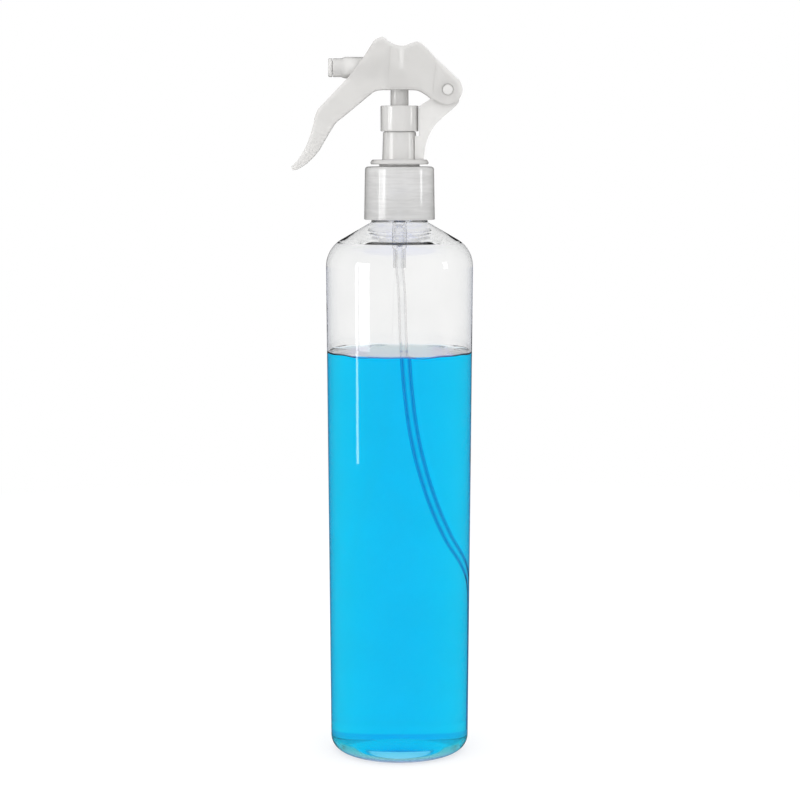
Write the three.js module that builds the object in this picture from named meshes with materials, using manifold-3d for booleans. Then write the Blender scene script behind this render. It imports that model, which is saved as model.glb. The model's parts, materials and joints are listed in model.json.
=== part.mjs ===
// A trigger mist sprayer on a half-litre clear bottle, as the separate mouldings it is made of.
// Millimetres, +Z up. Inside this file every piece is drawn around the bottle's axis, with the
// foot of the bottle at Z = 0. The spray leaves towards -X and the trigger pivots at +X.
import * as THREE from "three";
import { mergeVertices } from "three/addons/utils/BufferGeometryUtils.js";
import Module from "manifold-3d";

const wasm = await Module();
wasm.setup();

// ---------------------------------------------------------------- driving dimensions
const GAP = 0.3; // kept between pieces that touch
const ROUND = 36; // sides of the large turned pieces
const FINE = 20; // sides of the small turned pieces

const BOTTLE = {
  wall: 0.8, footInner: 16.5, footOuter: 22.1, heel: 5.8, punt: 3.8, floor: 1.2,
  shoulderZ: 197, shoulderR: 29.3, shoulderArc: 12.3, coneAngle: 30,
  neckZ: 215, neckR: 11, neckFillet: 1.6, boreR: 9.5, rimZ: 232.2,
};
const THREAD = {
  pitch: 3.175, turns: 1.5, bottleZ: 223.6, crestR: 12, depth: 1, rootW: 1.7, crestW: 0.8, fade: 3,
};
const LIQUID_Z = 163.6;
const CLOSURE = {
  bottom: 215.6, top: 236.5, rTop: 13.7, rBottom: 14.05, corner: 1.2, wallR: 12.35, lid: 1.2, holeR: 8.3,
};
const GASKET = { bottom: BOTTLE.rimZ + GAP, thick: 1, inner: 9.2, outer: 12 };
const HOUSING = {
  flangeZ: 233.8, flangeH: 1.2, flangeR: 12, outerR: 5.2, boreR: 4, top: 249, floor: 217.2,
  midR: 2.95, midZ: 204.4, tailR: 2.5, tailZ: 196.4, tailBoreR: 1.95,
};
const BALL = { r: 1.5, z: 206.79, chamberR: 2.05, seatR: 1, seatZ: 205.6, lipR: 1.3, lipZ: 208.9 };
const TUBE = { r: 1.7, bore: 1.1, top: 204.1, atWall: 25.3, wallTop: 72 };
const SPRING = { bottom: 217.9, top: 237, meanR: 2.95, wireR: 0.35, turns: 8 };
const ROD = { bottom: 224, flangeZ: 237.4, flangeR: 3.3, pinR: 1.8, tipR: 1.15, top: 249 };
const PISTON = { z: 239.1, height: 4.6, outer: 3.8, inner: 1.55 };
const STEM = { bottom: 244.8, top: 268, outer: 2.15, bore: 1.45 };
const CHAPLET = { skirtZ: 246, plateZ: 249.3, top: 251, outer: 5.2, hole: 2.45, skirtR: 3.7 };
const BRACKET = {
  spigotBottom: 235.3, spigotR: 8, flangeZ: 237.4, flangeH: 1.8, flangeR: 11.6,
  bore: 5.5, neckR: 6.85, neckTopR: 6.3, neckTop: 250.1, ringR: 6, ringTop: 253.2,
  armHalf: 4.2, armFoot: 9.5, bossR: 4.1, bossHalf: 5.4, studR: 2, studHalf: 6.9,
};
const COLLAR = {
  bottom: 250.4, top: 260.4, outer: 7.5, skirt: 6.3, guideOuter: 4.9, guide: 3.9, guideZ: 251.5, web: 1.2,
};
const POST = { r: 3.55, bottom: 258.5, flatZ: 274.3 };
const NOZZLE = {
  z: 275.3, r: 4.2, tipR: 3.65, tipX: -26.6, stepX: -22.7, backX: 3, bore: 2.85, boreX: -21.5, postX: -25.2,
};
const FEED = { z: 272.75, r: 0.85, wellR: 1.2 };
const INSERT = {
  face: -28.1, flange: 1.5, barrelR: 2.55, backX: -23.7, cupR: 1.75, orifice: 0.25, plate: 1, eyeR: 0.9,
};
const PIVOT = { x: 18.9, z: 266.6, endR: 5.8, holeR: 2.3 };
const LEVER = {
  half: 7, cheek: 1.3, skin: 1.4, slotHalf: 4.7, slotBottom: 270.5, slotTop: 284.2, slotBack: -9,
  panel: 0.25, finX: [-5, 4.9], finBottom: 267.8, finTop: 281.8, finHalf: 0.5,
};
const PRESS = { x: 0.8, half: 0.8, bottom: POST.flatZ + GAP, top: 283 };

// ---------------------------------------------------------------- helpers
const v2 = (x, y) => new THREE.Vector2(x, y);

function solid(geometry) {
  const bare = geometry.clone();
  bare.deleteAttribute("normal");
  bare.deleteAttribute("uv");
  const welded = mergeVertices(bare, 1e-4);
  const mesh = (flip) => {
    const triVerts = new Uint32Array(welded.index.array);
    if (flip) triVerts.reverse();
    return new wasm.Mesh({ numProp: 3, vertProperties: welded.attributes.position.array, triVerts });
  };
  const body = new wasm.Manifold(mesh(false));
  return body.volume() > 0 ? body : new wasm.Manifold(mesh(true));
}

function geometryOf(body) {
  const { vertProperties, triVerts } = body.getMesh();
  const geometry = new THREE.BufferGeometry();
  geometry.setAttribute("position", new THREE.BufferAttribute(vertProperties, 3));
  geometry.setIndex(new THREE.BufferAttribute(triVerts, 1));
  geometry.computeVertexNormals();
  return geometry;
}

// points on a circle in a profile, both ends included; angles in degrees
function arc(cx, cy, r, from, to, steps) {
  return Array.from({ length: steps + 1 }, (_, i) => {
    const a = THREE.MathUtils.degToRad(from + ((to - from) * i) / steps);
    return [cx + r * Math.cos(a), cy + r * Math.sin(a)];
  });
}

// a profile of [radius, z] turned about the Z axis
function turned(profile, sides = FINE) {
  const points = profile.map(([r, z]) => v2(Math.max(r, 0), z));
  return solid(new THREE.LatheGeometry(points, sides).rotateX(Math.PI / 2));
}

// a closed ring profile: the last point meets the first
const ring = (profile, sides) => turned([...profile, profile[0]], sides);

// the same, turned about an axis along X at height z; profile of [radius, x]
function turnedAlongX(profile, z, sides = FINE) {
  const points = profile.map(([r, x]) => v2(r, x));
  return solid(new THREE.LatheGeometry(points, sides).rotateZ(-Math.PI / 2).translate(0, 0, z));
}

// a cylinder along Y through (x, z)
function crossPin(x, z, r, half, sides = FINE) {
  return solid(new THREE.CylinderGeometry(r, r, 2 * half, sides).translate(x, 0, z));
}

// an outline in X and Z, made solid from -half to +half in Y
function plate(shape, half, curveSegments = 6) {
  const depth = 2 * half;
  const slab = new THREE.ExtrudeGeometry(shape, { depth, bevelEnabled: false, curveSegments });
  return solid(slab.rotateX(Math.PI / 2).translate(0, half, 0));
}

const outline = (points) => new THREE.Shape(points.map(([x, z]) => v2(x, z)));

function block(x0, x1, y0, y1, z0, z1) {
  const box = new THREE.BoxGeometry(x1 - x0, y1 - y0, z1 - z0);
  return solid(box.translate((x0 + x1) / 2, (y0 + y1) / 2, (z0 + z1) / 2));
}

// a ridge of trapezium section wound round Z and sunk a little into its wall; it fades at both ends
function helicalRidge(wallR, crestR, z) {
  const { pitch, turns, rootW, crestW, fade } = THREAD;
  const base = wallR + 0.3 * Math.sign(wallR - crestR);
  const section = outline([
    [base, -rootW / 2], [crestR, -crestW / 2], [crestR, crestW / 2], [base, rootW / 2],
  ]);
  const steps = ROUND * turns;
  const strip = new THREE.ExtrudeGeometry(section, { depth: 1, steps, bevelEnabled: false });
  const position = strip.attributes.position;
  const lowest = 0.25;
  for (let i = 0; i < position.count; i += 1) {
    const t = position.getZ(i);
    const rise = Math.min(1, lowest + (t * steps) / fade, lowest + ((1 - t) * steps) / fade);
    const r = base + (position.getX(i) - base) * rise;
    const a = 2 * Math.PI * turns * t;
    position.setXYZ(i, r * Math.cos(a), r * Math.sin(a), z + position.getY(i) + pitch * turns * t);
  }
  return solid(strip);
}

// ---------------------------------------------------------------- bottle and contents
// radius of the bottle's outside between the heel and the shoulder
function bodyR(z) {
  const low = BOTTLE.footOuter + BOTTLE.heel;
  return THREE.MathUtils.mapLinear(z, BOTTLE.heel, BOTTLE.shoulderZ, low, BOTTLE.shoulderR);
}

// the bottle's outside from the foot to the neck, moved inwards by `inset`
function bottleSide(inset, steps) {
  const { footOuter, heel, shoulderZ, shoulderR, shoulderArc } = BOTTLE;
  const { coneAngle, neckR, neckZ, neckFillet } = BOTTLE;
  const arcX = shoulderR - shoulderArc;
  const shoulder = arc(arcX, shoulderZ, shoulderArc - inset, 0, 90 - coneAngle, steps + 1);
  const [endX, endZ] = shoulder.at(-1);
  const coneTopR = neckR + neckFillet - inset;
  const coneTopZ = endZ + (endX - coneTopR) * Math.tan(THREE.MathUtils.degToRad(coneAngle));
  return [
    ...arc(footOuter, heel, heel - inset, -90, 0, steps), ...shoulder,
    [coneTopR, coneTopZ], [neckR - inset, neckZ],
  ];
}

const puntZ = (r, lift) => lift + BOTTLE.punt * (1 - (r / BOTTLE.footInner) ** 2);

function bottle() {
  const { footInner, floor, boreR, rimZ, neckR, neckZ, wall } = BOTTLE;
  const chamfer = 0.4;
  const dome = [0, 0.45, 0.8].map((f) => f * footInner);
  const outside = [...dome.map((r) => [r, puntZ(r, 0)]), [footInner, 0], ...bottleSide(0, 4)];
  const inside = bottleSide(wall, 4);
  inside[0] = [inside[0][0], floor];
  inside[inside.length - 1] = [boreR, neckZ];
  const profile = [
    ...outside,
    [neckR, rimZ - chamfer], [neckR - chamfer, rimZ], [boreR, rimZ],
    ...inside.reverse(),
    [footInner, floor], ...dome.map((r) => [r, puntZ(r, floor)]).reverse(),
  ];
  return turned(profile, ROUND).add(helicalRidge(neckR, THREAD.crestR, THREAD.bottleZ));
}

// the route of the dip tube's centre in the XZ plane, from the pump to the wall and down it
function tubeRoute() {
  const points = [
    [0, TUBE.top], [0, 197], [0.9, 186], [1.5, 168], [2.6, 147.5], [4.9, 126.5], [9.3, 105.5],
    [14.8, 88.5], [20.4, 77.5], [24.1, 69], [TUBE.atWall, 58], [TUBE.atWall, 34], [24.7, 8],
  ];
  return new THREE.CatmullRomCurve3(points.map(([x, z]) => new THREE.Vector3(x, 0, z)));
}

function dipTube() {
  const section = new THREE.Shape().absarc(0, 0, TUBE.r, 0, 2 * Math.PI);
  section.holes.push(new THREE.Path().absarc(0, 0, TUBE.bore, 0, 2 * Math.PI, true));
  const settings = { extrudePath: tubeRoute(), steps: 32, curveSegments: 5, bevelEnabled: false };
  return solid(new THREE.ExtrudeGeometry(section, settings));
}

// the space in the liquid that the dip tube stands in, tall enough for it to rise with the head
function tubeSlot(lift) {
  const route = tubeRoute();
  const half = TUBE.r + 1.5 * GAP;
  const samples = 32;
  const low = [];
  const high = [];
  for (let i = 0; i <= samples; i += 1) {
    const p = route.getPointAt(i / samples);
    const t = route.getTangentAt(i / samples);
    low.push([p.x + half * t.z, p.z - half * t.x]);
    high.push([p.x - half * t.z, p.z + half * t.x + lift]);
  }
  const [footX, footZ] = low[samples];
  const end = [[footX, footZ - half], [high[samples][0], footZ - half]];
  return plate(outline([...low, ...end, ...high.reverse()]), half);
}

function liquid() {
  const { footInner, footOuter, heel, floor, wall } = BOTTLE;
  const inset = wall + GAP;
  const dome = [0, 0.6].map((f) => f * footInner);
  const profile = [
    ...dome.map((r) => [r, puntZ(r, floor + GAP)]),
    [footInner, floor + GAP], [footOuter, floor + GAP],
    ...arc(footOuter, heel, heel - inset, -60, 0, 3),
    [bodyR(LIQUID_Z) - inset, LIQUID_Z], [0, LIQUID_Z],
  ];
  const half = TUBE.r + 1.5 * GAP;
  const outside = footOuter + heel + wall;
  const alongWall = block(TUBE.atWall, outside, -half, half, floor, TUBE.wallTop);
  const slot = tubeSlot(THREAD.pitch * THREAD.turns + GAP);
  return turned(profile, ROUND).subtract(slot).subtract(alongWall);
}

// ---------------------------------------------------------------- closure and pump
function closure() {
  const { bottom, top, rTop, rBottom, corner, wallR, lid, holeR } = CLOSURE;
  const cup = ring([
    [wallR, bottom], [rBottom, bottom], ...arc(rTop - corner, top - corner, corner, 0, 90, 3),
    [holeR, top], [holeR, top - lid], [wallR, top - lid],
  ], ROUND);
  const { crestR, bottleZ, pitch, depth } = THREAD;
  const inner = crestR - depth + 1.15 * GAP;
  return cup.add(helicalRidge(wallR, inner, bottleZ - pitch / 2));
}

function gasket() {
  const { bottom, thick, inner, outer } = GASKET;
  return ring([[inner, bottom], [outer, bottom], [outer, bottom + thick], [inner, bottom + thick]], ROUND);
}

function pumpHousing() {
  const { flangeZ, flangeH, flangeR, outerR, boreR, top, floor } = HOUSING;
  const { midR, midZ, tailR, tailZ, tailBoreR } = HOUSING;
  const { chamberR, seatR, seatZ, lipR, lipZ } = BALL;
  const lipRise = chamberR - lipR;
  const body = ring([
    [tailBoreR, tailZ], [tailR, tailZ], [tailR, midZ], [midR, midZ + 0.5], [midR, floor - 2.2],
    [outerR, floor - 1.2], [outerR, flangeZ - 1], [outerR + 1, flangeZ],
    [flangeR, flangeZ], [flangeR, flangeZ + flangeH], [outerR, flangeZ + flangeH], [outerR, top],
    [boreR, top], [boreR, floor], [chamberR, floor], [chamberR, lipZ + 0.6], [lipR, lipZ + 0.2],
    [lipR, lipZ], [chamberR, lipZ - lipRise], [chamberR, seatZ + chamberR - seatR],
    [seatR, seatZ], [seatR, midZ], [tailBoreR, midZ],
  ]);
  // three ways past the lip, so that the lifted ball doesn't shut the inlet
  return [0, 1, 2].reduce((rest, n) => {
    const way = new THREE.BoxGeometry(chamberR, 1, 2).translate(chamberR / 2, 0, lipZ);
    return rest.subtract(solid(way.rotateZ((n * 2 * Math.PI) / 3)));
  }, body);
}

function inletBall() {
  return solid(new THREE.SphereGeometry(BALL.r, 16, 10).rotateX(Math.PI / 2).translate(0, 0, BALL.z));
}

function returnSpring() {
  const { bottom, top, meanR, wireR, turns } = SPRING;
  class Coil extends THREE.Curve {
    getPoint(t, target = new THREE.Vector3()) {
      const a = 2 * Math.PI * turns * t;
      const z = THREE.MathUtils.lerp(bottom + wireR, top - wireR, t);
      return target.set(meanR * Math.cos(a), meanR * Math.sin(a), z);
    }
  }
  const section = new THREE.Shape().absarc(0, 0, wireR, 0, 2 * Math.PI);
  const settings = { extrudePath: new Coil(), steps: 12 * turns, curveSegments: 3, bevelEnabled: false };
  return solid(new THREE.ExtrudeGeometry(section, settings));
}

// the rod inside the spring: its flange takes the spring, its cone shuts the piston, and its tip
// fits the stem
function valveRod() {
  const { bottom, flangeZ, flangeR, pinR, tipR, top } = ROD;
  return turned([
    [0, bottom], [pinR - 0.5, bottom], [pinR, bottom + 0.8], [pinR, flangeZ], [flangeR, flangeZ],
    [flangeR, flangeZ + 0.8], [tipR, PISTON.z + 0.9], [tipR, top], [0, top],
  ]);
}

// a sealing lip at each end of the outside, and a cone below that shuts on the valve rod
function piston() {
  const { z, height, outer, inner } = PISTON;
  const waist = outer - 0.5;
  return ring([
    [inner + 0.7, z], [outer, z], [waist, z + 1.2], [waist, z + height - 1.2], [outer, z + height],
    [inner + 0.9, z + height], [inner + 0.6, z + height - 1], [inner, z + height - 1.4], [inner, z + 1],
  ]);
}

function stem() {
  const { bottom, top, outer, bore } = STEM;
  return ring([[bore, bottom], [outer, bottom], [outer, top - 0.4], [outer - 0.3, top], [bore, top]]);
}

// the plug that shuts the top of the housing and guides the stem
function chaplet() {
  const { skirtZ, plateZ, top, outer, hole, skirtR } = CHAPLET;
  return ring([
    [hole + 0.5, skirtZ], [skirtR, skirtZ], [skirtR, plateZ], [outer, plateZ], [outer, top - 0.5],
    [outer - 0.5, top], [hole, top], [hole, plateZ - 1], [hole + 0.5, plateZ - 1.4],
  ]);
}

// ---------------------------------------------------------------- head
// the rear arm of the bracket, from its flange up to the pivot
function armOutline() {
  const { x, z } = PIVOT;
  const { bossR, flangeZ, bore, neckTop, armFoot } = BRACKET;
  const outerX = COLLAR.outer + GAP;
  const rootX = bore + 0.4;
  const rootZ = flangeZ + 0.5;
  const step = neckTop - 1.6;
  const shape = new THREE.Shape();
  shape.moveTo(rootX, rootZ);
  shape.lineTo(armFoot, rootZ);
  shape.lineTo(armFoot + 0.1, rootZ + 2.5);
  shape.splineThru([
    v2(10.7, 246.4), v2(12.3, 250.1), v2(14.3, 253.1), v2(17.4, 256.1), v2(21.2, 259.3), v2(23.2, 261.6),
  ]);
  shape.lineTo(23.5, 263.3);
  const turn = THREE.MathUtils.degToRad(-35);
  shape.lineTo(x + bossR * Math.cos(turn), z + bossR * Math.sin(turn));
  shape.absarc(x, z, bossR, turn, THREE.MathUtils.degToRad(200), false);
  shape.lineTo(12.2, 263);
  shape.lineTo(outerX, COLLAR.top);
  shape.lineTo(outerX, step);
  shape.lineTo(rootX, step);
  return shape;
}

function headBracket() {
  const b = BRACKET;
  const shoulder = 1;
  const turnedBody = ring([
    [b.bore, b.spigotBottom], [b.spigotR, b.spigotBottom], [b.spigotR, b.flangeZ],
    [b.flangeR - 0.4, b.flangeZ], [b.flangeR, b.flangeZ + 0.5],
    [b.flangeR - 0.7, b.flangeZ + b.flangeH], [b.neckR, b.flangeZ + b.flangeH],
    ...arc(b.neckTopR - shoulder + 0.3, b.neckTop - shoulder, shoulder, 0, 72, 3),
    [b.ringR, b.neckTop], [b.ringR, b.ringTop], [b.bore, b.ringTop],
  ], 28);
  const arm = plate(armOutline(), b.armHalf);
  const boss = crossPin(PIVOT.x, PIVOT.z, b.bossR, b.bossHalf, 24);
  const studs = crossPin(PIVOT.x, PIVOT.z, b.studR, b.studHalf);
  return turnedBody.add(arm).add(boss).add(studs);
}

function guideCollar() {
  const { bottom, top, outer, skirt, guideOuter, guide, guideZ, web } = COLLAR;
  return ring([
    [skirt, bottom], [outer, bottom], [outer, top - 0.4], [outer - 0.4, top], [guide + 0.3, top],
    [guide, top - 0.3], [guide, guideZ], [guideOuter, guideZ], [guideOuter, top - web], [skirt, top - web],
  ], 28);
}

// the button under the lever: an upright socket on the stem and a nozzle tube that points forwards
function actuator() {
  const { r, bottom, flatZ } = POST;
  const n = NOZZLE;
  const post = turned([[0, bottom], [r, bottom], [r, n.z], [0, n.z]], 24);
  const tube = turnedAlongX([
    [0, n.tipX + GAP], [n.tipR, n.tipX + GAP], [n.tipR, n.stepX - 0.4], [n.r, n.stepX + 1.2],
    [n.r, 1.2], [n.r - 1.6, n.backX], [0, n.backX],
  ], n.z, 24);
  // the elbow is cut down to a low flat, which the lever presses
  const clear = n.z + n.r + 1;
  const above = outline([
    [-5.4, clear], [-4.6, 278.2], [-2.2, flatZ], [1.6, flatZ], [3.1, flatZ - 1.2], [3.8, flatZ - 3.6],
    [6, flatZ - 3.6], [6, clear],
  ]);
  const mouthR = STEM.outer + 0.5;
  const socketR = STEM.outer + 0.15;
  const socketTop = STEM.top + GAP;
  const socket = turned([
    [0, bottom - 1], [mouthR, bottom - 1], [mouthR, bottom], [socketR, bottom + 0.8],
    [socketR, socketTop], [FEED.wellR, socketTop], [FEED.wellR, FEED.z], [0, FEED.z],
  ]);
  const feedX = n.boreX - 0.6;
  const feed = turnedAlongX([[0, feedX], [FEED.r, feedX], [FEED.r, 0], [0, 0]], FEED.z, 12);
  const postR = INSERT.cupR - GAP;
  const front = turnedAlongX([
    [postR, n.boreX], [n.bore, n.boreX], [n.bore, n.tipX - 1], [0, n.tipX - 1], [0, n.postX],
    [postR, n.postX], [postR, n.boreX],
  ], n.z);
  return post.add(tube).subtract(plate(above, 6)).subtract(socket).subtract(feed).subtract(front);
}

// the orifice cup pressed into the nozzle tube, with its flange against the tube's end
function nozzleInsert() {
  const { face, flange, barrelR, backX, cupR, orifice, plate: disc, eyeR } = INSERT;
  return turnedAlongX([
    [orifice, face + 0.4], [eyeR, face], [NOZZLE.tipR - 0.3, face], [NOZZLE.tipR, face + 0.3],
    [NOZZLE.tipR, face + flange], [barrelR, face + flange], [barrelR, backX], [cupR, backX],
    [cupR, face + disc], [orifice, face + disc], [orifice, face + 0.4],
  ], NOZZLE.z);
}

// ---------------------------------------------------------------- trigger lever
// the outside of the lever's skin: from the finger tip up the front, over the top and round the rear
function leverSkin() {
  const { x, z, endR } = PIVOT;
  const skin = new THREE.Path();
  skin.moveTo(-42.7, 236.4);
  skin.splineThru([v2(-39.7, 239.7), v2(-36.4, 245.4), v2(-34.2, 252), v2(-33.2, 256.4), v2(-32.2, 258.8)]);
  skin.lineTo(-19, 272.6);
  skin.lineTo(-13.7, 279.8);
  skin.splineThru([
    v2(-11.5, 283.3), v2(-9.6, 285.9), v2(-6.6, 287.1), v2(-4.6, 285.6), v2(-1.6, 284), v2(1.9, 283.7),
    v2(5, 284.8), v2(7.4, 285.1), v2(9.8, 283.5), v2(14.3, 278.8),
  ]);
  skin.absarc(x, z, endR, THREE.MathUtils.degToRad(49), THREE.MathUtils.degToRad(-12), true);
  return skin.getPoints(2);
}

// the rest of the lever's outline: round the pivot, along the underside and down to the finger tip
function leverUnderside() {
  const { x, z, endR } = PIVOT;
  const edge = new THREE.Path();
  edge.absarc(x, z, endR, THREE.MathUtils.degToRad(-20), THREE.MathUtils.degToRad(-120), true);
  edge.lineTo(12.6, 263.1);
  edge.splineThru([v2(9.9, 265.1), v2(7.1, 266.5), v2(3.5, 266.7)]);
  edge.lineTo(-6.4, 266.7);
  edge.splineThru([v2(-9.1, 266.4), v2(-10.9, 265.5)]);
  edge.lineTo(-22.6, 255.9);
  edge.splineThru([
    v2(-25.6, 253.4), v2(-29.4, 247.3), v2(-32.6, 242.1), v2(-36.7, 237.9), v2(-40.4, 235.5),
  ]);
  edge.lineTo(-42.1, 235.1);
  return edge.getPoints(2);
}

// an open line of points moved sideways, to the right of its direction
function moved(points, distance) {
  return points.map((p, i) => {
    const before = points[Math.max(i - 1, 0)];
    const after = points[Math.min(i + 1, points.length - 1)];
    const along = after.clone().sub(before).normalize();
    return v2(p.x + along.y * distance, p.y - along.x * distance);
  });
}

function triggerLever() {
  const { half, cheek, skin, slotHalf, slotBottom, slotTop, slotBack, panel } = LEVER;
  const { finX, finBottom, finTop, finHalf } = LEVER;
  const outer = leverSkin();
  const inner = half - cheek;
  const body = plate(new THREE.Shape([...outer, ...leverUnderside()]), half);
  const roofInside = moved(outer, skin);
  const below = [v2(25.5, 264), v2(26, 248), v2(-20, 225)];
  const hollow = plate(new THREE.Shape([...roofInside, ...below]), inner);
  const raised = outline([
    [-4.5, 267.4], [-3.5, 283.3], [-1.4, 283], [1.9, 282.8], [5.2, 283.8], [7.2, 284.1], [9.2, 282.8],
    [14.1, 277.8], [12.9, 264.4], [10.3, 266], [7.2, 267.4],
  ]);
  const across = half - 1;
  const tipZ = PRESS.bottom + PRESS.half;
  const press = block(PRESS.x - PRESS.half, PRESS.x + PRESS.half, -across, across, tipZ, PRESS.top);
  const tip = crossPin(PRESS.x, tipZ, PRESS.half, across, 12);
  const slot = block(-25, slotBack, -slotHalf, slotHalf, slotBottom, slotTop);
  const fins = finX.flatMap((x) => [-1, 1].map((side) => {
    const ys = [side * (inner - 1), side * (inner + 0.4)].sort((a, b) => a - b);
    return block(x - finHalf, x + finHalf, ...ys, finBottom, finTop);
  }));
  const between = block(-20, 30, 0.5 - half, half - 0.5, 250, 300);
  const pads = plate(raised, half + panel).subtract(between);
  const shell = body.subtract(hollow).add(pads);
  const whole = [press, tip, ...fins].reduce((sum, piece) => sum.add(piece), shell);
  return whole.subtract(slot).subtract(crossPin(PIVOT.x, PIVOT.z, PIVOT.holeR, half + 1));
}

// ---------------------------------------------------------------- assembly
const CLEAR = { color: 0xeaf1f3, roughness: 0.06, metalness: 0 };
const BLUE = { color: 0x05c8fa, roughness: 0.05, metalness: 0 };
const MILKY = { color: 0xe2dfdb, roughness: 0.35, metalness: 0 };
const NATURAL = { color: 0xe6e6e2, roughness: 0.3, metalness: 0 };
const FOAM = { color: 0xf2f2ee, roughness: 0.7, metalness: 0 };
const STEEL = { color: 0xbfc2c4, roughness: 0.2, metalness: 1 };

function piece(name, body, look) {
  const mesh = new THREE.Mesh(geometryOf(body), new THREE.MeshStandardMaterial(look));
  mesh.name = name;
  return mesh;
}

function group(name, ...children) {
  const holder = new THREE.Group();
  holder.name = name;
  return holder.add(...children);
}

const sprayer = group("spray_bottle",
  group("container", piece("bottle", bottle(), CLEAR), piece("liquid", liquid(), BLUE)),
  group("neck_fitting", piece("closure", closure(), MILKY), piece("gasket", gasket(), FOAM)),
  group("pump",
    piece("pump_housing", pumpHousing(), NATURAL),
    piece("dip_tube", dipTube(), NATURAL),
    piece("inlet_ball", inletBall(), STEEL),
    piece("return_spring", returnSpring(), STEEL),
    piece("valve_rod", valveRod(), NATURAL),
    piece("piston", piston(), NATURAL),
    piece("stem", stem(), NATURAL),
    piece("chaplet", chaplet(), NATURAL)),
  group("head",
    piece("head_bracket", headBracket(), MILKY),
    piece("guide_collar", guideCollar(), MILKY),
    piece("actuator", actuator(), MILKY),
    piece("nozzle_insert", nozzleInsert(), MILKY),
    piece("trigger_lever", triggerLever(), MILKY)));

// the origin is under the middle of the whole object's box
const box = new THREE.Box3().setFromObject(sprayer);
sprayer.position.x = -(box.min.x + box.max.x) / 2;

export default sprayer;
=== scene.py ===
import json
import math

import bmesh
import bpy
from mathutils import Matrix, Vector


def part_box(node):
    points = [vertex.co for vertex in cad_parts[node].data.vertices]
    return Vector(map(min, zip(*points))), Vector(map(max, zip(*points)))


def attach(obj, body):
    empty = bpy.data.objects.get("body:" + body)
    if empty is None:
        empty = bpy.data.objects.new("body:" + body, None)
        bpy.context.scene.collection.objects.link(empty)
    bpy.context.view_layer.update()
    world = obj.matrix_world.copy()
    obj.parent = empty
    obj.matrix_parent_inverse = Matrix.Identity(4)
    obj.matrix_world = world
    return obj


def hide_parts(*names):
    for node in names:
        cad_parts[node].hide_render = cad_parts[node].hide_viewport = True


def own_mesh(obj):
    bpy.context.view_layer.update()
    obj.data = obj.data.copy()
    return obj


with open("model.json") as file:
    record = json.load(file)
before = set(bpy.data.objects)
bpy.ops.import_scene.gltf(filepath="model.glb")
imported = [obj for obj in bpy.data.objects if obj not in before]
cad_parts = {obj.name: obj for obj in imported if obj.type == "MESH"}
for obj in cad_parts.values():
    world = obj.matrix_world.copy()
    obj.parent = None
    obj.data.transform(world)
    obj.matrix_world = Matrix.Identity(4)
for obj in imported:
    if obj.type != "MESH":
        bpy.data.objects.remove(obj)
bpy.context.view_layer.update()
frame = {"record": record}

# Lengths in the tables below are millimetres, measured from the bottle's axis and its foot.
MM = 0.001
# A radius smaller than this is a point on the axis.
ON_AXIS = 1e-6


def middle(node):
    low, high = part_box(node)
    return (low + high) / 2


AXIS = Vector((middle("bottle").x, middle("bottle").y, 0))
JOINTS = {joint["name"]: joint for joint in frame["record"]["behaviour"]["joints"]}
PIVOT = (Vector(JOINTS["trigger_squeeze"]["pos_m"]) - AXIS) / MM
PIVOT_X, PIVOT_Z = PIVOT.x, PIVOT.z
LIQUID_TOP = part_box("liquid")[1].z / MM
SURFACE_Z = LIQUID_TOP - 0.9

NECK_R = 11
BORE_R = 9.5
WALL = 0.8
RIM_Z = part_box("bottle")[1].z / MM
NOZZLE_Z = middle("nozzle_insert").z / MM
PITCH = 3.175
TURNS = 1.5
THREAD_Z = 223.6


# ------------------------------------------------------------------ shapes
def arc(cx, cy, r, start, end, steps):
    """Points on a circle, both ends included; angles in degrees."""
    angles = [math.radians(start + (end - start) * i / steps) for i in range(steps + 1)]
    return [(cx + r * math.cos(a), cy + r * math.sin(a)) for a in angles]


def spline(points, steps):
    """A smooth line through the points (Catmull-Rom), both ends included."""
    out = []
    last = len(points) - 1
    for i in range(last):
        p0, p1 = points[max(i - 1, 0)], points[i]
        p2, p3 = points[i + 1], points[min(i + 2, last)]
        for step in range(steps):
            t = step / steps
            out.append(tuple(
                0.5 * (2 * b + (c - a) * t + (2 * a - 5 * b + 4 * c - d) * t**2
                       + (3 * b - a - 3 * c + d) * t**3)
                for a, b, c, d in zip(p0, p1, p2, p3)
            ))
    return out + [tuple(points[-1])]


def softened(profile, steps=5):
    """A closed profile of (x, y, radius): each corner is rounded by its radius, or kept if 0."""
    out = []
    for i, (x, y, radius) in enumerate(profile):
        corner = Vector((x, y))
        before = Vector(profile[i - 1][:2]) - corner
        after = Vector(profile[(i + 1) % len(profile)][:2]) - corner
        if not radius:
            out.append((x, y))
            continue
        half = before.angle(after) / 2
        reach = min(radius / math.tan(half), 0.49 * before.length, 0.49 * after.length)
        r = reach * math.tan(half)
        centre = corner + (before.normalized() + after.normalized()).normalized() * r / math.sin(half)
        a = corner + before.normalized() * reach - centre
        b = corner + after.normalized() * reach - centre
        sweep = b.angle_signed(a) if a.length and b.length else 0
        start = math.atan2(a.y, a.x)
        for step in range(steps + 1):
            t = start + sweep * step / steps
            out.append((centre.x + r * math.cos(t), centre.y + r * math.sin(t)))
    return out


def finish_mesh(name, bm, sharp=35):
    """Makes an object of bm, shaded smooth except at edges sharper than that angle in degrees."""
    bmesh.ops.recalc_face_normals(bm, faces=bm.faces)
    for face in bm.faces:
        face.smooth = True
    for edge in bm.edges:
        edge.smooth = len(edge.link_faces) == 2 and edge.calc_face_angle() < math.radians(sharp)
    mesh = bpy.data.meshes.new(name)
    bm.to_mesh(mesh)
    bm.free()
    obj = bpy.data.objects.new(name, mesh)
    bpy.context.scene.collection.objects.link(obj)
    return obj


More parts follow.
